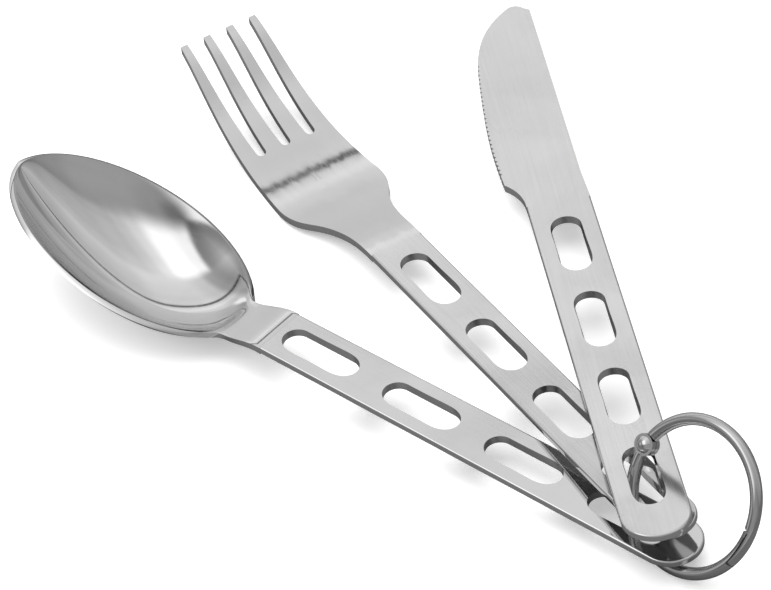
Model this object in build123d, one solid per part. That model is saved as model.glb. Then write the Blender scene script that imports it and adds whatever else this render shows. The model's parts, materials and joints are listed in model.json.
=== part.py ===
from build123d import *
import os
from math import asin, cos, degrees, radians, sin, sqrt, tan

# Picnic cutlery: a spoon, a fork and a knife with slotted flat handles, threaded on a
# hinged split ring that opens to let them off.
# Frame: +Y runs from the ring along the fork to its tines, +Z is up, and the set lies
# on the plane z = 0.  Lengths are in millimetres, angles in degrees.

# ---- sheet metal shared by the three pieces ----
plate_thickness = 1.8        # stamped sheet
edge_round = 0.5             # rounding of the handle's edges and of its slots
handle_neck = 102.0          # from the ring slot's centre to the head
slot_length = 19.4
slot_width = 6.1
slot_pitch = 28.35
slot_count = 4
slot_rim_depth = 0.45        # the slots' rims are pressed into the upper face
slot_rim_width = 1.7

# ---- knife ----
knife_width_neck = 14.4      # handle width where the head starts
knife_width_end = 15.3       # handle width at the ring end
knife_end = 21.0             # from the ring slot's centre to the end of the handle
blade_length = 77.0          # from the neck to the point
blade_spine = 6.8            # spine's distance from the centre line
blade_belly = 10.9           # cutting edge's distance from the centre line at its widest
choil_length = 8.5           # from the neck to the heel of the cutting edge
choil_hollow = 0.9           # how deep the curve between them is hollowed
bevel_width = 1.6            # ground strip along the cutting edge
edge_thickness = 0.5         # metal left at the cutting edge
serration_pitch = 1.55
serration_depth = 0.45
serration_count = 26

# ---- fork ----
fork_width_neck = 12.8
fork_width_end = 13.6
fork_end = 20.0
fork_head_length = 76.0      # from the neck to the tips
fork_head_width = 25.4
fork_tip_width = 19.4        # across the outer tines at their tips
tine_length = 28.6
tine_gap = 2.3               # gap between two tines at its root
tine_tip = 1.7               # width of a tine at its tip
tine_count = 4
fork_neck_length = 8.5       # from the neck to the start of the shoulders
fork_shoulder = 16.5         # from the neck to the shoulders
fork_low_place = 31.0        # from the neck to the lowest place of the head
fork_dip = 4.3               # how far the head drops below the handle
fork_rise = 11.6              # how far the tips stand above the handle

# ---- spoon ----
spoon_width_neck = 13.4
spoon_width_end = 14.6
spoon_end = 18.8
bowl_length = 64.8
bowl_width = 36.4
bowl_depth = 13.4            # from the rim's plane to the outside of the bottom
bowl_wall = 1.2
bowl_tilt = 12.4              # rim's slope, up towards the tip
bowl_broad = 0.465            # widest place, as a share of the length from the neck
spoon_bend = 97.6            # from the ring slot's centre to where the neck bends down
spoon_neck_length = 6.8      # from the end of a straight handle to the bowl's rim
spoon_waist = 0.7            # how much narrower each side of the neck is at the bowl's rim
spoon_neck_flare = 0.5       # how much wider it is again at its end under the bowl
spoon_neck_slope = 0.35      # slope of the neck where it runs under the rim
bowl_rim_step = -3.6         # height of the rim's neck end over the handle's upper face
spoon_neck_sink = 0.4        # how far the neck's upper face lies under the rim where they meet
spoon_neck_overlap = 4.0     # how far the neck's sheet runs on under the rim
bowl_neck_steepness = 1.4    # slope of the bowl's wall at the neck
bowl_tip_steepness = 0.85    # slope of the bowl's wall at the tip

# ---- ring ----
ring_radius = 16.4           # centre line of the wire
wire_diameter = 2.8
ring_tilt = 56.0             # slope of the ring's plane
ring_turn = 15.0             # the ring's heading, turned from the fork's line
eye_diameter = 4.9           # flattened hinge eyes
rivet_diameter = 1.9
rivet_head_diameter = 3.7
rivet_head_height = 0.8
hinge_flat = 0.1             # how far the eyes and rivet seats lie under the wire's surface
rivet_play = 0.08            # radial play of the gate on the rivet
eye_gap = 0.12               # between the two eyes
eye_room = 0.3               # between an eye and the end of the other wire
latch_lap = 7.6              # length of the overlapping ends at the latch
latch_gap = 0.35

# ---- layout at rest ----
knife_fan = 20.6             # the knife's turn to the right of the fork
spoon_fan = 19.9             # the spoon's turn to the left of the fork
spoon_rise = 2.3             # the spoon's handle climbs from the ring to the bowl
lay_gap = 0.3                # air left where one piece lies on another
fan_reach = 42.0             # from the ring slot to where the fork's and spoon's handles part
knife_reach = 56.0           # the same for the knife and the fork, when they swing together
hinge_height = 0.8           # air between the hinge and the knife
spoon_threading = (2.2, 0.15)   # ring slot's centre from the wire, along and across
fork_threading = (0.2, -0.2)
knife_threading = (-5.3, -0.35)

wire_radius = wire_diameter / 2
half_thickness = plate_thickness / 2


def box_between(low, high):
    """A box from its lowest corner to its highest."""
    size = [b - a for a, b in zip(low, high)]
    centre = [(a + b) / 2 for a, b in zip(low, high)]
    return Pos(*centre) * Box(*size)


# ---- the slotted handle, along +X from the ring slot to the neck, mid-plane at z = 0 ----
def handle_outline(width_neck, width_end, end, neck):
    """Tapered strip with a round end."""
    end_radius = width_end / 2
    end_centre = end_radius - end
    half_neck = width_neck / 2
    with BuildSketch() as sketch:
        with BuildLine():
            Polyline((end_centre, -end_radius), (neck, -half_neck), (neck, half_neck),
                     (end_centre, end_radius))
            ThreePointArc((end_centre, end_radius), (-end, 0), (end_centre, -end_radius))
        make_face()
    return sketch.sketch


def handle_slots(height):
    """Cutters for the row of slots, the first one on the ring."""
    cutters = [Pos(i * slot_pitch, 0, 0) * extrude(SlotOverall(slot_length, slot_width),
                                                   height / 2, both=True)
               for i in range(slot_count)]
    return Part() + cutters


def handle(width_neck, width_end, end, neck=handle_neck):
    """Flat handle with rounded edges, and slots with pressed rims on the upper face."""
    blank = extrude(handle_outline(width_neck, width_end, end, neck), half_thickness, both=True)
    blank -= handle_slots(2 * plate_thickness)
    faces = blank.faces().sort_by(Axis.Z)
    outer = faces[0].edges() + faces[-1].outer_wire().edges()
    long_edges = [edge for edge in outer if edge.center().X < neck - edge_round]
    blank = fillet(long_edges, min(edge_round, 0.45 * plate_thickness))
    top = blank.faces().sort_by(Axis.Z)[-1]
    rims = [edge for wire in top.inner_wires() for edge in wire.edges()]
    return blank.chamfer(slot_rim_depth, slot_rim_width, rims, face=top)


# ---- knife ----
def blade_edge():
    """The cutting edge, from its heel to near the point."""
    heel = handle_neck + choil_length
    length = blade_length - choil_length
    return Spline((heel, blade_belly - 0.4), (heel + 0.2 * length, blade_belly),
                  (heel + 0.55 * length, 0.87 * blade_belly),
                  (heel + 0.84 * length, 0.52 * blade_belly),
                  (heel + length - 0.8, -0.1 * blade_belly))


def knife():
    """Handle and blade in one flat sheet, with a ground, saw-toothed edge."""
    half_neck = knife_width_neck / 2
    edge = blade_edge()
    heel, edge_end = edge @ 0, edge @ 1
    hollow = ((handle_neck + heel.X) / 2, (half_neck + heel.Y) / 2 - choil_hollow)
    point = (handle_neck + blade_length, -0.55 * blade_spine)
    spine_corner = (handle_neck + blade_length - 2.6, -blade_spine)
    with BuildSketch() as sketch:
        with BuildLine():
            ThreePointArc((heel.X, heel.Y), hollow, (handle_neck, half_neck))
            Polyline((handle_neck, half_neck), (handle_neck - 1, half_neck),
                     (handle_neck - 1, -half_neck), (heel.X, -blade_spine), spine_corner)
            ThreePointArc(spine_corner, point, (edge_end.X, edge_end.Y))
            add(edge)
        make_face()
    blade = extrude(sketch.sketch, half_thickness, both=True)
    grind_edge = blade.faces().sort_by(Axis.Z)[-1].edges().sort_by(
        lambda item: (item.center() - edge @ 0.5).length)[0]
    blade = blade.chamfer(plate_thickness - edge_thickness, bevel_width, [grind_edge],
                          face=blade.faces().sort_by(Axis.Z)[-1])
    body = handle(knife_width_neck, knife_width_end, knife_end) + blade
    first, last = 0.06, 0.66
    teeth = []
    for i in range(serration_count):
        along = first + (last - first) * i / (serration_count - 1)
        place = edge @ along
        reach = serration_pitch / sqrt(2)
        teeth.append(Pos(place.X, place.Y - serration_depth + serration_pitch / 2, 0)
                     * Rot(0, 0, 45) * Box(reach, reach, 2 * plate_thickness))
    return body - teeth


# ---- bent sheet, for the fork's head and the spoon's neck ----
def bent_sheet(middle, width):
    """Slab of the sheet's thickness that follows a line in the X-Z plane."""
    steps = 28
    upper, lower = [], []
    for i in range(steps + 1):
        place = middle @ (i / steps)
        heading = middle % (i / steps)
        across = (-heading.Y * half_thickness, heading.X * half_thickness)
        upper.append((place.X + across[0], place.Y + across[1]))
        lower.append((place.X - across[0], place.Y - across[1]))
    with BuildSketch(Plane.XZ) as side:
        with BuildLine():
            Spline(*upper)
            Spline(*lower)
            Line(upper[0], lower[0])
            Line(upper[-1], lower[-1])
        make_face()
    return extrude(side.sketch, width, both=True)


# ---- fork ----
def fork_sheet():
    """The head's bent sheet, wider than the head."""
    tip = handle_neck + fork_head_length
    root = tip - tine_length
    middle = Spline((handle_neck - 2, 0), (handle_neck + 0.2 * fork_head_length, -0.55 * fork_dip),
                    (handle_neck + fork_low_place, -fork_dip), (root, -0.7 * fork_dip),
                    (root + 0.55 * tine_length, 0.32 * fork_rise), (tip + 1, fork_rise + 0.6),
                    tangents=((1, 0), (1, 0.32)))
    return bent_sheet(middle, fork_head_width)


def fork_outline():
    """Head seen from above, with tapered tines."""
    tip = handle_neck + fork_head_length
    root = tip - tine_length
    half_neck, half_head = fork_width_neck / 2, fork_head_width / 2
    half_tip = fork_tip_width / 2
    neck_end, shoulder = handle_neck + fork_neck_length, handle_neck + fork_shoulder
    widest = handle_neck + fork_low_place - 2
    with BuildSketch() as sketch:
        with BuildLine():
            for side in (-1, 1):
                Spline((handle_neck - 2, side * half_neck), (neck_end, side * (half_neck + 0.3)),
                       (shoulder, side * 0.68 * half_head), (widest, side * half_head),
                       tangents=((1, 0), (1, 0)))
                Line((widest, side * half_head), (tip, side * half_tip))
            Line((handle_neck - 2, -half_neck), (handle_neck - 2, half_neck))
            Line((tip, -half_tip), (tip, half_tip))
        make_face()
    sheet = sketch.sketch
    root_share = (root - widest) / (tip - widest)
    half_root = half_head + (half_tip - half_head) * root_share
    root_pitch = (2 * half_root + tine_gap) / tine_count
    tip_pitch = (fork_tip_width - tine_tip) / (tine_count - 1)
    for i in range(tine_count - 1):
        place = i - (tine_count - 2) / 2
        root_y, tip_y = place * root_pitch, place * tip_pitch
        half_gap, half_mouth = tine_gap / 2, (tip_pitch - tine_tip) / 2
        with BuildSketch() as gap:
            with BuildLine():
                Polyline((root + half_gap, root_y + half_gap), (tip + 1, tip_y + half_mouth),
                         (tip + 1, tip_y - half_mouth), (root + half_gap, root_y - half_gap))
                ThreePointArc((root + half_gap, root_y - half_gap), (root, root_y),
                              (root + half_gap, root_y + half_gap))
            make_face()
        sheet -= gap.sketch
    return sheet


def fork():
    """Handle and bent head."""
    head = extrude(fork_outline(), 4 * fork_rise, both=True) & fork_sheet()
    return handle(fork_width_neck, fork_width_end, fork_end) + head


# ---- spoon ----
def bowl_body(inset):
    """Solid bowl with its rim on z = 0 and its deepest place at x = 0, drawn in by the inset.

    It is turned about an axis over the rim, so it is round across and egg-shaped along.
    """
    half_width, depth = bowl_width / 2 - inset, bowl_depth - inset
    neck_reach = bowl_broad * bowl_length - inset
    tip_reach = (1 - bowl_broad) * bowl_length - inset
    turn_radius = (half_width ** 2 + depth ** 2) / (2 * depth)
    axis_height = turn_radius - depth
    with BuildSketch(Plane.XZ) as sketch:
        with BuildLine():
            Spline((-neck_reach, -axis_height), (0, -turn_radius), (tip_reach, -axis_height),
                   tangents=((1, -bowl_neck_steepness), (1, bowl_tip_steepness)))
            Polyline((tip_reach, -axis_height), (tip_reach, 0), (-neck_reach, 0),
                     (-neck_reach, -axis_height))
        make_face()
    turned = revolve(sketch.sketch, Axis.X)
    reach = 2 * bowl_length
    below = box_between((-reach, -reach, -reach), (reach, reach, -axis_height))
    return Pos(0, 0, axis_height) * (turned & below)


def spoon():
    """Handle, neck and egg-shaped bowl."""
    rim_start = handle_neck + spoon_neck_length
    seat = (Pos(rim_start, 0, half_thickness + bowl_rim_step) * Rot(0, -bowl_tilt, 0)
            * Pos(bowl_broad * bowl_length, 0, 0))
    half_neck = spoon_width_neck / 2
    waist, flare = half_neck - spoon_waist, half_neck + spoon_neck_flare
    neck_start, neck_end = spoon_bend, rim_start + spoon_neck_overlap
    with BuildSketch() as sketch:
        with BuildLine():
            for side in (-1, 1):
                Spline((neck_start, side * half_neck), (rim_start - 1, side * waist),
                       (neck_end, side * flare), tangents=((1, 0), (1, 0.8 * side)))
            Line((neck_start, -half_neck), (neck_start, half_neck))
            Line((neck_end, -flare), (neck_end, flare))
        make_face()
    neck_drop = bowl_rim_step - spoon_neck_sink
    neck_low = neck_drop - spoon_neck_slope * spoon_neck_overlap
    middle = Spline((neck_start, 0), (rim_start, neck_drop), (neck_end + 1, neck_low),
                    tangents=((1, 0), (1, -spoon_neck_slope)))
    neck = extrude(sketch.sketch, bowl_depth, both=True) & bent_sheet(middle, bowl_width)
    hollow = bowl_body(bowl_wall)
    mouth = extrude(hollow.faces().sort_by(Axis.Z)[-1], 2 * plate_thickness)
    body = handle(spoon_width_neck, spoon_width_end, spoon_end, spoon_bend) + neck
    return body + seat * bowl_body(0) - seat * hollow - seat * mouth


# ---- ring ----
def wire_arc(start, end):
    """Round wire from one angle to another about the ring's centre, on the plane z = 0."""
    section = Plane(origin=(ring_radius, 0, 0), x_dir=(1, 0, 0), z_dir=(0, -1, 0)) * Circle(wire_radius)
    return revolve(section, Axis.Z, end - start).rotate(Axis.Z, start)


def eye(side):
    """Flattened disc of one hinge eye; side is 1 over the middle plane and -1 under it."""
    height = wire_radius - hinge_flat - eye_gap / 2
    middle = side * (eye_gap / 2 + height / 2)
    return Pos(-ring_radius, 0, middle) * Cylinder(eye_diameter / 2, height)


def eye_room_cut(side):
    """Space that the other half's eye turns in."""
    height = 2 * wire_radius
    middle = side * (height / 2 - eye_gap / 2)
    return Pos(-ring_radius, 0, middle) * Cylinder(eye_diameter / 2 + eye_room, height)


def rivet_head_room(side):
    """Space that flattens the wire under one rivet head."""
    height = wire_radius
    middle = side * (wire_radius - hinge_flat + height / 2)
    return Pos(-ring_radius, 0, middle) * Cylinder(rivet_head_diameter / 2 + eye_room, height)


def latch_cut(keep_inner):
    """Cutter that leaves the inner or the outer half of the wire over the latch's lap.

    The parting face is round about the hinge, so the gate slides open along it.
    """
    lap_end = latch_lap / 2 * (1 + wire_radius / ring_radius) + latch_gap
    hinge = Pos(-ring_radius, 0, 0)
    height = 2 * wire_diameter
    parting = 2 * ring_radius
    span = 4 * wire_diameter
    if keep_inner:
        wall = Cylinder(parting + span, height) - Cylinder(parting - latch_gap / 2, height)
        zone = box_between((ring_radius - span, -lap_end, -height),
                           (ring_radius + span, lap_end + span, height))
    else:
        wall = Cylinder(parting + latch_gap / 2, height)
        zone = box_between((ring_radius - span, -lap_end - span, -height),
                           (ring_radius + span, lap_end, height))
    return (hinge * wall) & zone


def ring_lower_half():
    """The half that is threaded through the slots; its inner lap ends at the latch."""
    end_angle = degrees(asin(latch_lap / 2 / ring_radius))
    wire = wire_arc(-180, end_angle) - eye_room_cut(-1) - rivet_head_room(1)
    wire -= latch_cut(keep_inner=True)
    hole = Pos(-ring_radius, 0, 0) * Cylinder(rivet_diameter / 2, 4 * wire_diameter)
    return wire + eye(1) - hole


def ring_upper_half():
    """The gate half; its outer lap closes over the latch."""
    end_angle = degrees(asin(latch_lap / 2 / ring_radius))
    wire = wire_arc(-end_angle, 180) - eye_room_cut(1) - rivet_head_room(-1)
    wire -= latch_cut(keep_inner=False)
    hole = Pos(-ring_radius, 0, 0) * Cylinder(rivet_diameter / 2 + rivet_play, 4 * wire_diameter)
    return wire + eye(-1) - hole


def hinge_rivet():
    """Shank with a domed head at each end."""
    reach = wire_radius - hinge_flat
    shank = Cylinder(rivet_diameter / 2, 2 * reach)
    head_radius = rivet_head_diameter / 2
    ball = (head_radius ** 2 + rivet_head_height ** 2) / (2 * rivet_head_height)
    dome = Pos(0, 0, rivet_head_height - ball) * Sphere(ball)
    dome &= Pos(0, 0, rivet_head_height / 2) * Cylinder(2 * head_radius, rivet_head_height)
    rivet = shank + Pos(0, 0, reach) * dome + Pos(0, 0, -reach) * Rot(180, 0, 0) * dome
    return Pos(-ring_radius, 0, 0) * rivet


# ---- layout at rest: each handle lies on the one below, and its head rests on the plane ----
def ring_point(height):
    """Where the wire's centre line passes a height, as a shift from the ring's centre."""
    share = (ring_centre_height - height) / (ring_radius * ring_rise)
    return (ring_down * share + ring_level * sqrt(1 - share ** 2)) * ring_radius


def lay(piece, height, slope, fan, threading):
    """Set a piece down with its ring slot round the wire at the given height.

    Returns the piece and the place of the wire in it.
    """
    wire = ring_centre + ring_point(height)
    heading = Vector(sin(radians(fan)), cos(radians(fan)), 0)
    left = Vector(-heading.Y, heading.X, 0)
    along, across = threading
    slot = wire + heading * along + left * across
    plane = Plane(origin=slot, x_dir=heading - Vector(0, 0, slope), z_dir=Vector(0, 0, 1) + heading * slope)
    return plane.location * piece, wire


ring_rise = sin(radians(ring_tilt))
ring_centre_height = wire_radius + ring_radius * ring_rise
ring_level = Vector(-sin(radians(ring_turn)), cos(radians(ring_turn)), 0)
ring_down = Vector(-cos(radians(ring_turn)) * cos(radians(ring_tilt)),
                   -sin(radians(ring_turn)) * cos(radians(ring_tilt)), -ring_rise)
ring_normal = ring_level.cross(ring_down)

spoon_flat, fork_flat, knife_flat = spoon(), fork(), knife()
step = plate_thickness + lay_gap

spoon_slope = -tan(radians(spoon_rise))
spoon_height = -(Rot(0, -spoon_rise, 0) * spoon_flat).bounding_box().min.Z
crossing_height = spoon_height - fan_reach * spoon_slope
fork_low = handle_neck + fork_low_place
fork_slope = (crossing_height + step - fork_dip - half_thickness) / (fork_low - fan_reach)
fork_height = crossing_height + step + fan_reach * fork_slope
knife_point = handle_neck + blade_length
knife_crossing = fork_height - knife_reach * fork_slope + step
knife_slope = (knife_crossing - half_thickness) / (knife_point - knife_reach)
knife_height = knife_crossing + knife_reach * knife_slope

# the ring stands so that its wire passes the fork's slot on the line x = y = 0
fork_wire = ring_point(fork_height)
ring_centre = Vector(-fork_wire.X, -fork_wire.Y, ring_centre_height)

laid_spoon, spoon_axis = lay(spoon_flat, spoon_height, spoon_slope, -spoon_fan, spoon_threading)
laid_fork, fork_axis = lay(fork_flat, fork_height, fork_slope, 0, fork_threading)
laid_knife, knife_axis = lay(knife_flat, knife_height, knife_slope, knife_fan, knife_threading)

hinge_level = knife_height + half_thickness + hinge_height + eye_diameter / 2 * ring_rise
hinge_out = ring_point(hinge_level)
ring_plane = Plane(origin=ring_centre, x_dir=-hinge_out, z_dir=ring_normal)

nodes = {
    "spoon": laid_spoon,
    "fork": laid_fork,
    "knife": laid_knife,
    "ring_lower_half": ring_plane.location * ring_lower_half(),
    "ring_upper_half": ring_plane.location * ring_upper_half(),
    "hinge_rivet": ring_plane.location * hinge_rivet(),
}

# ---- origin: bottom centre of the whole set ----
whole = Compound(children=[Part() + node for node in nodes.values()]).bounding_box()
origin = Vector((whole.min.X + whole.max.X) / 2, (whole.min.Y + whole.max.Y) / 2, whole.min.Z)
shift = Pos(-origin.X, -origin.Y, -origin.Z)

os.makedirs("parts", exist_ok=True)
for name, node in nodes.items():
    export_step(shift * node, f"parts/{name}.step")

for name, place in (("spoon_swing", spoon_axis), ("fork_swing", fork_axis),
                    ("knife_swing", knife_axis), ("ring_gate", ring_centre + hinge_out)):
    place = place - origin
    print(f"{name}: {place.X:.3f} {place.Y:.3f} {place.Z:.3f}")
print(f"gate axis: {ring_normal.X:.5f} {ring_normal.Y:.5f} {ring_normal.Z:.5f}")
print(f"size: {whole.size.X:.2f} {whole.size.Y:.2f} {whole.size.Z:.2f}")
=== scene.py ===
"""Picnic cutlery on a hinged ring: a spoon, a fork and a knife in stamped stainless steel.

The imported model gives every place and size. Each utensil and each ring part is a smooth,
finished piece that stands for its CAD node, dressed in procedural steel. Lengths are in metres.
"""

import json
import logging
import math
from collections.abc import Callable
from dataclasses import dataclass, field
from enum import Enum
from functools import partial

import bpy
from mathutils import Matrix, Vector

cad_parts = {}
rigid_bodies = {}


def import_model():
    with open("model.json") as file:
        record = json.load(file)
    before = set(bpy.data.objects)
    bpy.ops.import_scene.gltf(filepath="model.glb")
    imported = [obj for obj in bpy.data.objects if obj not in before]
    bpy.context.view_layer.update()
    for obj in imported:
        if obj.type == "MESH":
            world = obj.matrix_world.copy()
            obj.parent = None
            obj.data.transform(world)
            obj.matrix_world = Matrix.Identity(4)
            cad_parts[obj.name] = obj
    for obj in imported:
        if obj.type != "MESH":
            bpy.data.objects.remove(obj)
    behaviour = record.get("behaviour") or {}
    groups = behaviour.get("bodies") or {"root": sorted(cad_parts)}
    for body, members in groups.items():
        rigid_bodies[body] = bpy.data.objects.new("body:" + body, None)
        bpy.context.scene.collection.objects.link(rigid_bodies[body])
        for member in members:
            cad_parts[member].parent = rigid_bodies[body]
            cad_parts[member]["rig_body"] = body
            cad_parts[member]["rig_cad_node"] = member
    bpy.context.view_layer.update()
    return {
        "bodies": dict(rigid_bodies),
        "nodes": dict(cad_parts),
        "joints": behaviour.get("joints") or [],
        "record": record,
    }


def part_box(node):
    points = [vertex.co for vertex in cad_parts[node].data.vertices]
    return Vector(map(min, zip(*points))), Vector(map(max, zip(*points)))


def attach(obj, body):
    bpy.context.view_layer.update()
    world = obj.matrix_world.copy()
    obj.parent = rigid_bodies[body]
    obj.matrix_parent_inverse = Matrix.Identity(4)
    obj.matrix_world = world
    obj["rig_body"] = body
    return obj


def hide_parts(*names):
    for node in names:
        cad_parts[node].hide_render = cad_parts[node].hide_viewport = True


log = logging.getLogger("picnic_cutlery")

MERGE_REACH = 2e-6
FLAT_FACE_WEIGHT = 80


Steps = tuple[tuple[float, float], ...]


class Polish(Enum):
    """How a steel surface was finished: the height of its lines, and the roughness of a scratch."""

    MIRROR = (0.5e-6, 0.04)
    SATIN = (1.0e-6, 0.05)
    PLATED = (0.8e-6, 0.05)

    @property
    def line_height(self) -> float:
        """Height of the polishing lines, in metres."""
        return self.value[0]

    @property
    def scratch_roughness(self) -> float:
        """Roughness that a scratch adds."""
        return self.value[1]


def grey(tone: float) -> tuple[float, float, float, float]:
    """Give a tone as an opaque colour."""
    return (tone, tone, tone, 1.0)


def deselect_everything() -> None:
    """Clear the selection, so that an operator acts only on what is chosen next."""
    if bpy.context.object is not None and bpy.context.object.mode != "OBJECT":
        bpy.ops.object.mode_set(mode="OBJECT")
    bpy.ops.object.select_all(action="DESELECT")


def choose(piece: bpy.types.Object) -> None:
    """Make one object the only selected one, and the active one.

    Args:
        piece: The object that the next operators act on.
    """
    deselect_everything()
    piece.hide_viewport = False
    piece.select_set(True)
    bpy.context.view_layer.objects.active = piece


def edit_whole(piece: bpy.types.Object, *steps: Callable[[], object]) -> None:
    """Run edit-mode steps on all of one piece.

    Args:
        piece: The piece to edit.
        *steps: The steps, in order.
    """
    choose(piece)
    bpy.ops.object.mode_set(mode="EDIT")
    bpy.ops.mesh.select_all(action="SELECT")
    for step in steps:
        step()
    bpy.ops.object.mode_set(mode="OBJECT")


def copy_of_node(node: bpy.types.Object, name: str) -> bpy.types.Object:
    """Copy a CAD node into a piece of its own, with its loose triangles merged.

    Args:
        node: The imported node.
        name: Name of the new piece.

    Returns:
        The copy, riding on nothing, with its place in its mesh.
    """
    choose(node)
    bpy.ops.object.duplicate()
    piece = bpy.context.view_layer.objects.active
    piece.parent = None
    piece.matrix_world = Matrix.Identity(4)
    piece.name = name
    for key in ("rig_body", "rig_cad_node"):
        if key in piece:
            del piece[key]
    piece.data.materials.clear()
    edit_whole(
        piece,
        bpy.ops.mesh.customdata_custom_splitnormals_clear,
        lambda: bpy.ops.mesh.remove_doubles(threshold=MERGE_REACH),
    )
    return piece


def smooth_steel(piece: bpy.types.Object, crease_angle: float) -> None:
    """Shade a piece smoothly up to an angle, with its flat faces kept flat.

    Args:
        piece: The piece to shade.
        crease_angle: Angle in degrees over which an edge stays crisp.
    """
    choose(piece)
    bpy.ops.object.shade_smooth_by_angle(angle=math.radians(crease_angle), keep_sharp_edges=True)
    weighting = piece.modifiers.new("flat faces rule", "WEIGHTED_NORMAL")
    weighting.keep_sharp = True
    weighting.weight = FLAT_FACE_WEIGHT
    bpy.ops.object.modifier_apply(modifier=weighting.name)


class NodeSheet:
    """Small helper that lays out the nodes of one tree."""

    def __init__(self, tree: bpy.types.NodeTree) -> None:
        """Start on an empty or a new tree."""
        self.tree = tree

    def add(self, kind: str, **values: object) -> bpy.types.Node:
        """Add a node and set its properties.

        Args:
            kind: Blender's name of the node type.
            **values: Properties of the node.

        Returns:
            The new node.
        """
        node = self.tree.nodes.new(kind)
        for key, value in values.items():
            setattr(node, key, value)
        return node

    def join(self, source: bpy.types.NodeSocket, target: bpy.types.NodeSocket) -> None:
        """Link two sockets."""
        self.tree.links.new(source, target)

    def math(self, operation: str, first: object, second: object = 0.0) -> bpy.types.NodeSocket:
        """Add a math node whose inputs are sockets or numbers.

        Args:
            operation: Name of the operation.
            first: First input.
            second: Second input.

        Returns:
            The node's output.
        """
        node = self.add("ShaderNodeMath", operation=operation)
        for socket, value in zip(node.inputs, (first, second)):
            if isinstance(value, bpy.types.NodeSocket):
                self.join(value, socket)
            else:
                socket.default_value = value
        return node.outputs[0]

    def ramp(self, value: bpy.types.NodeSocket, steps: Steps) -> bpy.types.NodeSocket:
        """Turn a value into a grey through soft steps.

        Args:
            value: The value, from 0 to 1.
            steps: Each step's place and grey.

        Returns:
            The grey.
        """
        bands = self.add("ShaderNodeValToRGB")
        bands.color_ramp.interpolation = "EASE"
        elements = bands.color_ramp.elements
        for element, (position, tone) in zip(elements, (steps[0], steps[-1])):
            element.position, element.color = position, grey(tone)
        for position, tone in steps[1:-1]:
            elements.new(position).color = grey(tone)
        self.join(value, bands.inputs["Fac"])
        return bands.outputs["Color"]

    def spread(
        self, value: bpy.types.NodeSocket, low: float, high: float, to_low: float, to_high: float
    ) -> bpy.types.NodeSocket:
        """Remap a value from one range to another, held at its ends.

        Args:
            value: The value.
            low: Where its range starts.
            high: Where its range ends.
            to_low: What the start becomes.
            to_high: What the end becomes.

        Returns:
            The remapped value.
        """
        node = self.add("ShaderNodeMapRange")
        self.join(value, node.inputs["Value"])
        for key, number in (("From Min", low), ("From Max", high), ("To Min", to_low), ("To Max", to_high)):
            node.inputs[key].default_value = number
        return node.outputs["Result"]


def group_sockets(
    group: bpy.types.NodeTree, inputs: dict[str, tuple[str, float | None]], outputs: dict[str, str]
) -> tuple[bpy.types.Node, bpy.types.Node]:
    """Give a node group its named sockets.

    Args:
        group: The node group.
        inputs: Socket kind and starting value of each input.
        outputs: Socket kind of each output.

    Returns:
        The group's input node and output node.
    """
    for name, (kind, value) in inputs.items():
        socket = group.interface.new_socket(name=name, in_out="INPUT", socket_type=kind)
        if value is not None:
            socket.default_value = value
    for name, kind in outputs.items():
        group.interface.new_socket(name=name, in_out="OUTPUT", socket_type=kind)
    return group.nodes.new("NodeGroupInput"), group.nodes.new("NodeGroupOutput")


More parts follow.
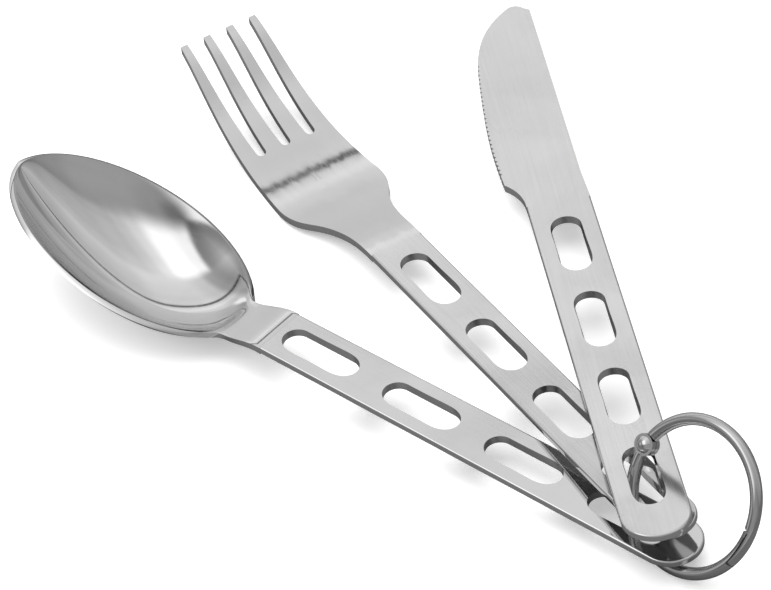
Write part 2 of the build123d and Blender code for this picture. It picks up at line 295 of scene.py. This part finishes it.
class SteelGroups:
    """Node groups that the steels share: brushing lines, stray scratches, and handling haze whose mask also
    lays a painted reflection mottle on the tone.
    """

    scratch_runs = ((0.35, 0.0), (1.2, 3.7), (2.3, 9.1))
    scratch_stretch = (9.0, 0.16, 1.0)
    scratch_width = 0.02
    scratch_patches = 90.0

    def __init__(self) -> None:
        """Build the three groups once."""
        self.brushing = self._brushing()
        self.scratches = self._scratches()
        self.haze_and_painted_reflection = self._haze_and_painted_reflection()

    @staticmethod
    def _brushing() -> bpy.types.NodeTree:
        """Make lines of fine brushing along the vector's X axis.

        Returns:
            The group, which puts out the lines' height.
        """
        group = bpy.data.node_groups.new("Brushing lines", "ShaderNodeTree")
        source, result = group_sockets(
            group,
            {
                "Vector": ("NodeSocketVector", None),
                "Lines per metre": ("NodeSocketFloat", 3600.0),
                "Length": ("NodeSocketFloat", 0.03),
            },
            {"Height": "NodeSocketFloat"},
        )
        sheet = NodeSheet(group)
        stretch = sheet.add("ShaderNodeCombineXYZ")
        sheet.join(sheet.math("DIVIDE", 1.0, source.outputs["Length"]), stretch.inputs["X"])
        sheet.join(source.outputs["Lines per metre"], stretch.inputs["Y"])
        sheet.join(source.outputs["Lines per metre"], stretch.inputs["Z"])
        scaled = sheet.add("ShaderNodeVectorMath", operation="MULTIPLY")
        sheet.join(source.outputs["Vector"], scaled.inputs[0])
        sheet.join(stretch.outputs[0], scaled.inputs[1])
        grain = sheet.add("ShaderNodeTexNoise")
        grain.inputs["Scale"].default_value = 1.0
        grain.inputs["Detail"].default_value = 3.0
        grain.inputs["Roughness"].default_value = 0.6
        sheet.join(scaled.outputs[0], grain.inputs["Vector"])
        sheet.join(grain.outputs["Fac"], result.inputs["Height"])
        return group

    def _scratches(self) -> bpy.types.NodeTree:
        """Make sparse hairline scratches that run in several directions.

        Returns:
            The group, which puts out a mask of the scratches.
        """
        group = bpy.data.node_groups.new("Stray scratches", "ShaderNodeTree")
        source, result = group_sockets(
            group,
            {"Vector": ("NodeSocketVector", None), "Density": ("NodeSocketFloat", 55.0)},
            {"Mask": "NodeSocketFloat"},
        )
        sheet = NodeSheet(group)
        total: bpy.types.NodeSocket | None = None
        for turn, offset in self.scratch_runs:
            place = sheet.add("ShaderNodeMapping", vector_type="TEXTURE")
            place.inputs["Location"].default_value = (offset, offset * 0.7, 0.0)
            place.inputs["Rotation"].default_value = (0.0, 0.0, turn)
            place.inputs["Scale"].default_value = self.scratch_stretch
            sheet.join(source.outputs["Vector"], place.inputs["Vector"])
            cells = sheet.add("ShaderNodeTexVoronoi", feature="DISTANCE_TO_EDGE")
            sheet.join(place.outputs[0], cells.inputs["Vector"])
            sheet.join(source.outputs["Density"], cells.inputs["Scale"])
            line = sheet.spread(cells.outputs["Distance"], 0.0, self.scratch_width, 1.0, 0.0)
            patch = sheet.add("ShaderNodeTexNoise")
            patch.inputs["Scale"].default_value = self.scratch_patches
            sheet.join(source.outputs["Vector"], patch.inputs["Vector"])
            here = sheet.spread(patch.outputs["Fac"], 0.52, 0.62, 0.0, 1.0)
            part = sheet.math("MULTIPLY", line, here)
            total = part if total is None else sheet.math("MAXIMUM", total, part)
        sheet.join(total, result.inputs["Mask"])
        return group

    @staticmethod
    def _haze_and_painted_reflection() -> bpy.types.NodeTree:
        """Make broad soft patches where hands and washing have dulled the shine; the steels also darken
        their colour under this mask, a painted mottle that stands in for blurred reflections.

        Returns:
            The group, which puts out a mask of the patches.
        """
        group = bpy.data.node_groups.new("Hazy handling patches and painted reflections", "ShaderNodeTree")
        source, result = group_sockets(
            group,
            {"Vector": ("NodeSocketVector", None), "Patch scale": ("NodeSocketFloat", 38.0)},
            {"Mask": "NodeSocketFloat"},
        )
        sheet = NodeSheet(group)
        cloud = sheet.add("ShaderNodeTexNoise")
        cloud.inputs["Detail"].default_value = 4.0
        cloud.inputs["Roughness"].default_value = 0.55
        cloud.inputs["Distortion"].default_value = 0.4
        sheet.join(source.outputs["Vector"], cloud.inputs["Vector"])
        sheet.join(source.outputs["Patch scale"], cloud.inputs["Scale"])
        sheet.join(sheet.spread(cloud.outputs["Fac"], 0.35, 0.7, 0.0, 1.0), result.inputs["Mask"])
        return group


@dataclass(frozen=True)
class SteelFinish:
    """One steel surface: its tone, its polish, how much it has been used, and a darker tone painted over
    soft patches as blurred reflections.
    """

    name: str
    polish: Polish
    tone: float
    # darker tone in the soft patches: a painted reflection, a mottle standing in for blurred reflections
    painted_reflection_tone: float
    roughness: float
    haze_roughness: float
    lines_per_metre: float = 3600.0
    line_length: float = 0.03
    grain_swing: float = 0.04
    scratch_share: float = 0.25

    def material(self, groups: SteelGroups, axes: Matrix) -> bpy.types.Material:
        """Build the material.

        Args:
            groups: The shared node groups.
            axes: The piece's own axes; the brushing runs along their X.

        Returns:
            A metal whose tone, shine and relief change over the surface.
        """
        material = bpy.data.materials.new(self.name)
        material.use_nodes = True
        tree = material.node_tree
        sheet = NodeSheet(tree)
        shader = tree.nodes["Principled BSDF"]
        shader.inputs["Metallic"].default_value = 1.0
        place = sheet.add("ShaderNodeTexCoord")
        along = sheet.add("ShaderNodeMapping", vector_type="TEXTURE")
        along.inputs["Location"].default_value = axes.to_translation()
        along.inputs["Rotation"].default_value = axes.to_euler()
        sheet.join(place.outputs["Object"], along.inputs["Vector"])

        lines = sheet.add("ShaderNodeGroup", node_tree=groups.brushing)
        lines.inputs["Lines per metre"].default_value = self.lines_per_metre
        lines.inputs["Length"].default_value = self.line_length
        scratches = sheet.add("ShaderNodeGroup", node_tree=groups.scratches)
        haze_and_painted_reflection = sheet.add("ShaderNodeGroup", node_tree=groups.haze_and_painted_reflection)
        for group in (lines, scratches, haze_and_painted_reflection):
            sheet.join(along.outputs[0], group.inputs["Vector"])

        # painted reflection: the patch mask darkens the tone as a mottle of blurred reflections; the same
        # mask's roughness below is real haze
        tone = sheet.add("ShaderNodeMix", data_type="RGBA")
        tone.inputs["A"].default_value = grey(self.tone)
        tone.inputs["B"].default_value = grey(self.painted_reflection_tone)
        sheet.join(haze_and_painted_reflection.outputs["Mask"], tone.inputs["Factor"])
        sheet.join(tone.outputs["Result"], shader.inputs["Base Color"])

        shine = sheet.spread(haze_and_painted_reflection.outputs["Mask"], 0.0, 1.0, self.roughness, self.haze_roughness)
        grain = sheet.spread(lines.outputs["Height"], 0.3, 0.7, -self.grain_swing, self.grain_swing)
        marks = sheet.math("MULTIPLY", scratches.outputs["Mask"], self.polish.scratch_roughness)
        sheet.join(sheet.math("ADD", sheet.math("ADD", shine, grain), marks), shader.inputs["Roughness"])

        relief = sheet.add("ShaderNodeBump")
        relief.inputs["Strength"].default_value = 1.0
        relief.inputs["Distance"].default_value = self.polish.line_height
        faint = sheet.math("MULTIPLY", scratches.outputs["Mask"], self.scratch_share)
        cut = sheet.math("SUBTRACT", lines.outputs["Height"], faint)
        sheet.join(cut, relief.inputs["Height"])
        sheet.join(relief.outputs[0], shader.inputs["Normal"])
        return material


@dataclass(frozen=True)
class Lie:
    """How a utensil lies: where the wire passes its ring slot, its heading and its slope."""

    joint: str
    fan: float
    rise: float
    along: float
    across: float

    def matrix(self, frame: dict[str, object]) -> Matrix:
        """Work out the utensil's own axes: X from its ring slot to its head, Z up from its face.

        Args:
            frame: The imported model.

        Returns:
            The matrix from the utensil's axes to the floor's.
        """
        hinge = next(item for item in frame["joints"] if item["name"] == self.joint)
        fan, rise = math.radians(self.fan), math.tan(math.radians(self.rise))
        heading = Vector((math.sin(fan), math.cos(fan), 0.0))
        left = Vector((-heading.y, heading.x, 0.0))
        origin = Vector(hinge["pos_m"]) + heading * self.along + left * self.across
        x_axis = (heading + Vector((0.0, 0.0, rise))).normalized()
        z_axis = (Vector((0.0, 0.0, 1.0)) - heading * rise).normalized()
        axes = Matrix((x_axis, z_axis.cross(x_axis), z_axis)).transposed()
        return Matrix.Translation(origin) @ axes.to_4x4()


@dataclass
class Utensil:
    """One stamped utensil, a fork or a knife."""

    node: str
    body: str
    slot: str
    lie: Lie
    finish: SteelFinish
    crease_angle: float = 32.0

    def shape(self, frame: dict[str, object]) -> bpy.types.Object:
        """Make the utensil's bare steel shape.

        Args:
            frame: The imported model.

        Returns:
            The undressed piece, in its place.
        """
        piece = copy_of_node(frame["nodes"][self.node], self.node + "_steel")
        smooth_steel(piece, self.crease_angle)
        return piece

    def build(self, frame: dict[str, object], groups: SteelGroups) -> bpy.types.Object:
        """Make the piece, dress it and put it on its body.

        Args:
            frame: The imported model.
            groups: The shared node groups.

        Returns:
            The finished piece.
        """
        piece = self.shape(frame)
        piece.data.materials.clear()
        piece.data.materials.append(self.finish.material(groups, self.lie.matrix(frame)))
        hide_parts(self.node)
        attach(piece, self.body)
        log.info("%s: %d faces", piece.name, len(piece.data.polygons))
        return piece


@dataclass
class Spoon(Utensil):
    """The spoon: its slotted handle, and a head drawn from the same sheet in one smooth sweep."""

    cut: float = 0.0968
    handle_half: float = 0.00672
    sheet: float = 0.0018
    bowl_sheet: float = 0.0012
    crest: float = 0.0008
    waist: float = 0.0060
    neck_blend: float = 5.0
    rim_start: float = 0.1088
    rim_drop: float = -0.0025
    rim_settle: float = 0.003
    rim_rounding: float = 0.0003
    bowl_length: float = 0.0617
    bowl_half: float = 0.0168
    bowl_broad: float = 0.47
    bowl_slope: float = 0.2225
    bowl_depth: float = 0.0127
    bowl_lip: float = 0.0004
    tip_fullness: float = 0.55
    near_steepness: float = 0.9
    tip_steepness: float = 0.8
    dish_flatness: float = 2.2
    side_gather: float = 0.12
    rows: int = 64
    columns: int = 20

    @property
    def tip(self) -> float:
        """Distance of the bowl's tip from the ring slot."""
        return self.rim_start + self.bowl_length

    def half_width(self, place: float) -> float:
        """Half the head's width at a place along the spoon.

        Args:
            place: Distance from the ring slot.

        Returns:
            The half width there.
        """
        if place <= self.rim_start:
            share = (place - self.cut) / (self.rim_start - self.cut)
            return self.handle_half + (self.waist - self.handle_half) * share**2
        share = min((place - self.rim_start) / self.bowl_length, 1.0)
        if share < self.bowl_broad:
            turn = 1.0 - share / self.bowl_broad
            bowl = self.bowl_half * math.sqrt(max(1.0 - turn**2, 0.0))
            return (self.waist**self.neck_blend + bowl**self.neck_blend) ** (1.0 / self.neck_blend)
        turn = (share - self.bowl_broad) / (1.0 - self.bowl_broad)
        return self.bowl_half * max(1.0 - turn**2, 0.0) ** self.tip_fullness

    def rim_height(self, place: float) -> float:
        """Height of the rim over the handle's middle plane.

        Args:
            place: Distance from the ring slot.

        Returns:
            The height of the sheet's upper face at its edge.
        """
        top = self.sheet / 2
        start, end = self.cut + self.crest, self.rim_start + self.rim_settle
        if place <= start:
            return top
        if place >= end:
            return self.rim_drop + (place - self.rim_start) * self.bowl_slope
        low = self.rim_drop + self.rim_settle * self.bowl_slope
        run = end - start
        share = (place - start) / run
        ease = 2 * share**3 - 3 * share**2 + 1
        return top * ease + low * (1 - ease) + self.bowl_slope * run * (share**3 - share**2)

    def dish_depth(self, place: float) -> float:
        """How far the middle of the dish lies under the rim.

        Args:
            place: Distance from the ring slot.

        Returns:
            The depth there.
        """
        start = self.rim_start + self.bowl_lip
        if place <= start:
            return 0.0
        share = min((place - start) / (self.tip - start), 1.0)
        turn = abs(2.0 * share - 1.0)
        steepness = self.near_steepness if share < 0.5 else self.tip_steepness
        return self.bowl_depth * max(1.0 - turn**2, 0.0) ** steepness

    def sweep(self, head: bpy.types.Object) -> None:
        """Lay a flat two-by-two grid out as the neck and bowl, with rows closer towards the tip.

        Args:
            head: The grid, which also gets the sheet's thickness as a vertex group.
        """
        quarter = math.sin(math.pi / 4.0)
        thin = head.vertex_groups.new(name="sheet")
        for vertex in head.data.vertices:
            step = (vertex.co.x + 1.0) / 2.0
            share = math.sin(step * math.pi / 2.0) if step > 0.5 else step * quarter / 0.5
            place = self.cut + (self.tip - self.cut) * share
            side = vertex.co.y * (1.0 - self.side_gather * (1.0 - abs(vertex.co.y)))
            dish = self.dish_depth(place) * (1.0 - abs(side) ** self.dish_flatness)
            vertex.co = Vector((place, self.half_width(place) * side, self.rim_height(place) - dish))
            along = min(max((place - self.cut) / (self.rim_start - self.cut), 0.0), 1.0)
            thin.add([vertex.index], 1.0 - (1.0 - self.bowl_sheet / self.sheet) * along, "REPLACE")

    def head(self) -> bpy.types.Object:
        """Sweep the neck and bowl from one grid, and give the sheet its thickness.

        Returns:
            The head, in the spoon's own axes.
        """
        deselect_everything()
        bpy.ops.mesh.primitive_grid_add(
            x_subdivisions=self.rows, y_subdivisions=self.columns, size=2.0, location=(0.0, 0.0, 0.0)
        )
        head = bpy.context.object
        head.name = "spoon_head"
        self.sweep(head)
        edit_whole(
            head,
            lambda: bpy.ops.mesh.remove_doubles(threshold=1e-5),
            lambda: bpy.ops.mesh.normals_make_consistent(inside=False),
        )
        # the sheet's upper face has to look up before it gets its thickness
        if sum(face.normal.z * face.area for face in head.data.polygons) < 0:
            edit_whole(head, bpy.ops.mesh.flip_normals)
        wall = head.modifiers.new("sheet", "SOLIDIFY")
        wall.thickness = self.sheet
        wall.offset = -1.0
        wall.vertex_group = "sheet"
        wall.use_even_offset = True
        wall.use_quality_normals = True
        bpy.ops.object.modifier_apply(modifier=wall.name)
        rounding = head.modifiers.new("rounded rim", "BEVEL")
        rounding.width = self.rim_rounding
        rounding.segments = 3
        rounding.limit_method = "ANGLE"
        rounding.angle_limit = math.radians(50.0)
        bpy.ops.object.modifier_apply(modifier=rounding.name)
        bpy.ops.object.shade_smooth_by_angle(angle=math.radians(60.0))
        return head

    def shape(self, frame: dict[str, object]) -> bpy.types.Object:
        """Keep the handle as packed, cut it where the neck begins, and join the head to it.

        Args:
            frame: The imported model.

        Returns:
            The undressed spoon, in its place.
        """
        matrix = self.lie.matrix(frame)
        handle = copy_of_node(frame["nodes"][self.node], self.node + "_steel")
        cut = partial(
            bpy.ops.mesh.bisect,
            plane_co=matrix @ Vector((self.cut, 0.0, 0.0)),
            plane_no=matrix.to_3x3() @ Vector((1.0, 0.0, 0.0)),
            use_fill=True,
            clear_outer=True,
        )
        edit_whole(handle, cut)
        smooth_steel(handle, self.crease_angle)
        head = self.head()
        head.data.transform(matrix)
        deselect_everything()
        head.select_set(True)
        handle.select_set(True)
        bpy.context.view_layer.objects.active = handle
        bpy.ops.object.join()
        return handle


@dataclass
class HingedRing:
    """The wire ring in its two halves, with the rivet of its hinge."""

    wire_finish: SteelFinish
    rivet_finish: SteelFinish
    lower_node: str = "ring_lower_half"
    upper_node: str = "ring_upper_half"
    rivet_node: str = "hinge_rivet"
    crease_angle: float = 38.0

    def build(self, frame: dict[str, object], groups: SteelGroups) -> list[bpy.types.Object]:
        """Make the two halves and the rivet.

        Args:
            frame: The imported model.
            groups: The shared node groups.

        Returns:
            The three finished pieces.
        """
        axes = Matrix.Translation(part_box(self.rivet_node)[0])
        wire = self.wire_finish.material(groups, axes)
        rivet = self.rivet_finish.material(groups, axes)
        plan = (
            (self.lower_node, "ring_base", "ring_wire", wire),
            (self.upper_node, "ring_gate_half", "ring_wire", wire),
            (self.rivet_node, "ring_base", "rivet_steel", rivet),
        )
        pieces = []
        for node, body, slot, material in plan:
            piece = copy_of_node(frame["nodes"][node], node + "_plated")
            smooth_steel(piece, self.crease_angle)
            piece.data.materials.append(material)
            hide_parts(node)
            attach(piece, body)
            log.info("%s: %d faces", piece.name, len(piece.data.polygons))
            pieces.append(piece)
        return pieces


@dataclass
class Studio:
    """Pale floor, soft lights and the camera."""

    floor_reach: float = 6.0
    floor_tone: float = 0.88
    floor_fleck: float = 0.985
    floor_glow: float = 0.35
    # grey of the floor as the steel mirrors it: a painted dark reflection
    floor_grey_in_painted_reflection: float = 0.16
    eye: Vector = field(default_factory=lambda: Vector((-0.62004, -1.24386, 1.24219)))
    aim: Vector = field(default_factory=lambda: Vector((-0.01078, 0.01154, 0.010)))
    roll: float = -6.87
    lens: float = 397.3
    heading: float = 25.9
    sky_strength: float = 1.90
    card_lean: float = 0.3
    lamp_box: float = 0.48
    cards: Steps = (
        (0.0, 0.25), (0.055, 0.33), (0.085, 0.38), (0.125, 0.39), (0.16, 0.44), (0.185, 0.53),
        (0.205, 0.47), (0.214, 0.42), (0.2180, 0.07), (0.2300, 0.07), (0.241, 0.45), (0.29, 0.43),
        (0.35, 0.46), (0.44, 0.50), (0.50, 0.42), (0.583, 0.36), (0.66, 0.33), (0.71, 0.29),
        (0.76, 0.20), (0.85, 0.22), (0.94, 0.20), (1.0, 0.30),
    )
    card_sides: Steps = (
        (0.0, 0.80), (0.06, 0.42), (0.10, 0.50), (0.15, 0.85), (0.25, 1.0), (0.50, 1.0),
        (0.63, 0.86), (0.75, 0.78), (0.90, 0.62), (1.0, 0.60),
    )
    box_width: Steps = (
        (0.0, 0.0), (0.065, 0.0), (0.085, 1.0), (0.20, 1.0), (0.29, 0.36), (0.38, 0.12),
        (0.45, 0.0), (1.0, 0.0),
    )
    box_height: Steps = (
        (0.0, 0.0), (0.43, 0.0), (0.50, 1.0), (0.70, 1.0), (0.80, 0.0), (1.0, 0.0),
    )

    def floor(self) -> bpy.types.Object:
        """Lay the floor under the set.

        Returns:
            The floor.
        """
        deselect_everything()
        bpy.ops.mesh.primitive_plane_add(size=2 * self.floor_reach, location=(0.0, 0.0, 0.0))
        floor = bpy.context.object
        floor.name = "floor"
        material = bpy.data.materials.new("Pale floor")
        material.use_nodes = True
        sheet = NodeSheet(material.node_tree)
        shader = material.node_tree.nodes["Principled BSDF"]
        place = sheet.add("ShaderNodeTexCoord")
        paper = sheet.add("ShaderNodeTexNoise")
        paper.inputs["Scale"].default_value = 140.0
        sheet.join(place.outputs["Object"], paper.inputs["Vector"])
        tone = sheet.add("ShaderNodeMix", data_type="RGBA")
        tone.inputs["A"].default_value = grey(self.floor_tone)
        tone.inputs["B"].default_value = grey(self.floor_tone * self.floor_fleck)
        sheet.join(paper.outputs["Fac"], tone.inputs["Factor"])
        sheet.join(tone.outputs["Result"], shader.inputs["Base Color"])
        shader.inputs["Roughness"].default_value = 0.9
        shader.inputs["Specular IOR Level"].default_value = 0.0
        shader.inputs["Emission Color"].default_value = grey(1.0)
        shader.inputs["Emission Strength"].default_value = self.floor_glow
        # painted reflection: rays off the steel see the floor as a dark grey while the camera sees it pale,
        # so the steel's edges mirror a painted dark band
        painted_dark_floor = sheet.add("ShaderNodeBsdfDiffuse")
        painted_dark_floor.inputs["Color"].default_value = grey(self.floor_grey_in_painted_reflection)
        path = sheet.add("ShaderNodeLightPath")
        either = sheet.add("ShaderNodeMixShader")
        sheet.join(path.outputs["Is Glossy Ray"], either.inputs[0])
        sheet.join(shader.outputs[0], either.inputs[1])
        sheet.join(painted_dark_floor.outputs[0], either.inputs[2])
        result = material.node_tree.nodes["Material Output"]
        sheet.join(either.outputs[0], result.inputs["Surface"])
        floor.data.materials.append(material)
        return floor

    def sky(self) -> None:
        """Surround the set with soft bright and dark cards, which the steel mirrors.

        The cards lie in bands over an arch, from the horizon behind the set, over the top, to
        the horizon in front of it. A soft lamp box hangs high on the left.
        """
        world = bpy.data.worlds.new("Studio")
        bpy.context.scene.world = world
        world.use_nodes = True
        sheet = NodeSheet(world.node_tree)
        backdrop = world.node_tree.nodes["Background"]
        place = sheet.add("ShaderNodeTexCoord")
        turn = sheet.add("ShaderNodeMapping", vector_type="POINT")
        turn.inputs["Rotation"].default_value = (0.0, 0.0, math.radians(self.heading))
        sheet.join(place.outputs["Generated"], turn.inputs["Vector"])
        parts = sheet.add("ShaderNodeSeparateXYZ")
        sheet.join(turn.outputs[0], parts.inputs[0])
        angle = sheet.math("ARCTAN2", parts.outputs["Z"], parts.outputs["Y"])
        arch = sheet.spread(angle, 0.0, math.pi, 0.0, 1.0)
        across = sheet.spread(parts.outputs["X"], -1.0, 1.0, 0.0, 1.0)
        rightward = sheet.math("MAXIMUM", parts.outputs["X"], 0.0)
        lean = sheet.math("MULTIPLY", sheet.math("POWER", rightward, 2.0), self.card_lean)
        cards = sheet.ramp(sheet.math("SUBTRACT", arch, lean), self.cards)
        sides = sheet.ramp(across, self.card_sides)
        face = sheet.math("MULTIPLY", sheet.ramp(across, self.box_width), sheet.ramp(arch, self.box_height))
        box = sheet.math("MULTIPLY", face, self.lamp_box)
        light = sheet.math("ADD", sheet.math("MULTIPLY", cards, sides), box)
        backdrop.inputs["Color"].default_value = grey(1.0)
        sheet.join(sheet.math("MULTIPLY", light, self.sky_strength), backdrop.inputs["Strength"])

    def lamp(self, name: str, place: tuple[float, float, float], size: float, power: float) -> None:
        """Hang one soft square lamp that points at the set.

        Args:
            name: The lamp's name.
            place: Where it hangs, in metres.
            size: Side of its square face.
            power: Its power in watts.
        """
        deselect_everything()
        bpy.ops.object.light_add(type="AREA", location=place)
        lamp = bpy.context.object
        lamp.name = name
        lamp.data.shape = "SQUARE"
        lamp.data.size = size
        lamp.data.energy = power
        lamp.visible_glossy = False
        lamp.rotation_euler = (-Vector(place)).to_track_quat("-Z", "Y").to_euler()

    def camera(self) -> None:
        """Stand the camera where the set is seen with its ring to the right."""
        deselect_everything()
        bpy.ops.object.camera_add(location=self.eye)
        camera = bpy.context.object
        look = (self.aim - self.eye).to_track_quat("-Z", "Y").to_matrix()
        turn = Matrix.Rotation(math.radians(self.roll), 3, "Z")
        camera.rotation_euler = (look @ turn).to_euler()
        camera.data.lens = self.lens
        camera.data.clip_start, camera.data.clip_end = 0.05, 50.0
        bpy.context.scene.camera = camera

    def build(self) -> None:
        """Set the whole studio up."""
        self.floor()
        self.sky()
        self.lamp("overhead", (0.1, 0.2, 1.5), 1.8, 22.0)
        self.lamp("left window", (-1.3, 0.3, 0.9), 1.0, 6.0)
        self.camera()
        bpy.context.scene.view_settings.view_transform = "Standard"


def main() -> None:
    """Build the cutlery, its ring and its studio."""
    logging.basicConfig(level=logging.INFO, format="%(name)s: %(message)s")
    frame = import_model()

    groups = SteelGroups()
    utensils = (
        Spoon(
            "spoon", "spoon_body", "spoon_steel", Lie("spoon_swing", -19.9, 2.3, 0.0022, 0.00015),
            SteelFinish("Polished spoon steel", Polish.MIRROR, 0.76, 0.70, 0.05, 0.10),
        ),
        Utensil(
            "fork", "fork_body", "fork_steel", Lie("fork_swing", 0.0, -2.52, 0.0002, -0.0002),
            SteelFinish("Polished fork steel", Polish.MIRROR, 0.75, 0.70, 0.06, 0.11),
        ),
        Utensil(
            "knife", "knife_body", "knife_steel", Lie("knife_swing", 20.6, -4.7, -0.0053, -0.00035),
            SteelFinish("Satin knife steel", Polish.SATIN, 0.74, 0.70, 0.15, 0.21),
        ),
    )
    for utensil in utensils:
        utensil.build(frame, groups)

    plated = SteelFinish("Nickel-plated wire", Polish.PLATED, 0.62, 0.52, 0.06, 0.13)
    riveted = SteelFinish("Nickel-plated rivet", Polish.PLATED, 0.68, 0.58, 0.06, 0.12)
    HingedRing(plated, riveted).build(frame, groups)

    Studio().build()


if __name__ == "__main__":
    main()
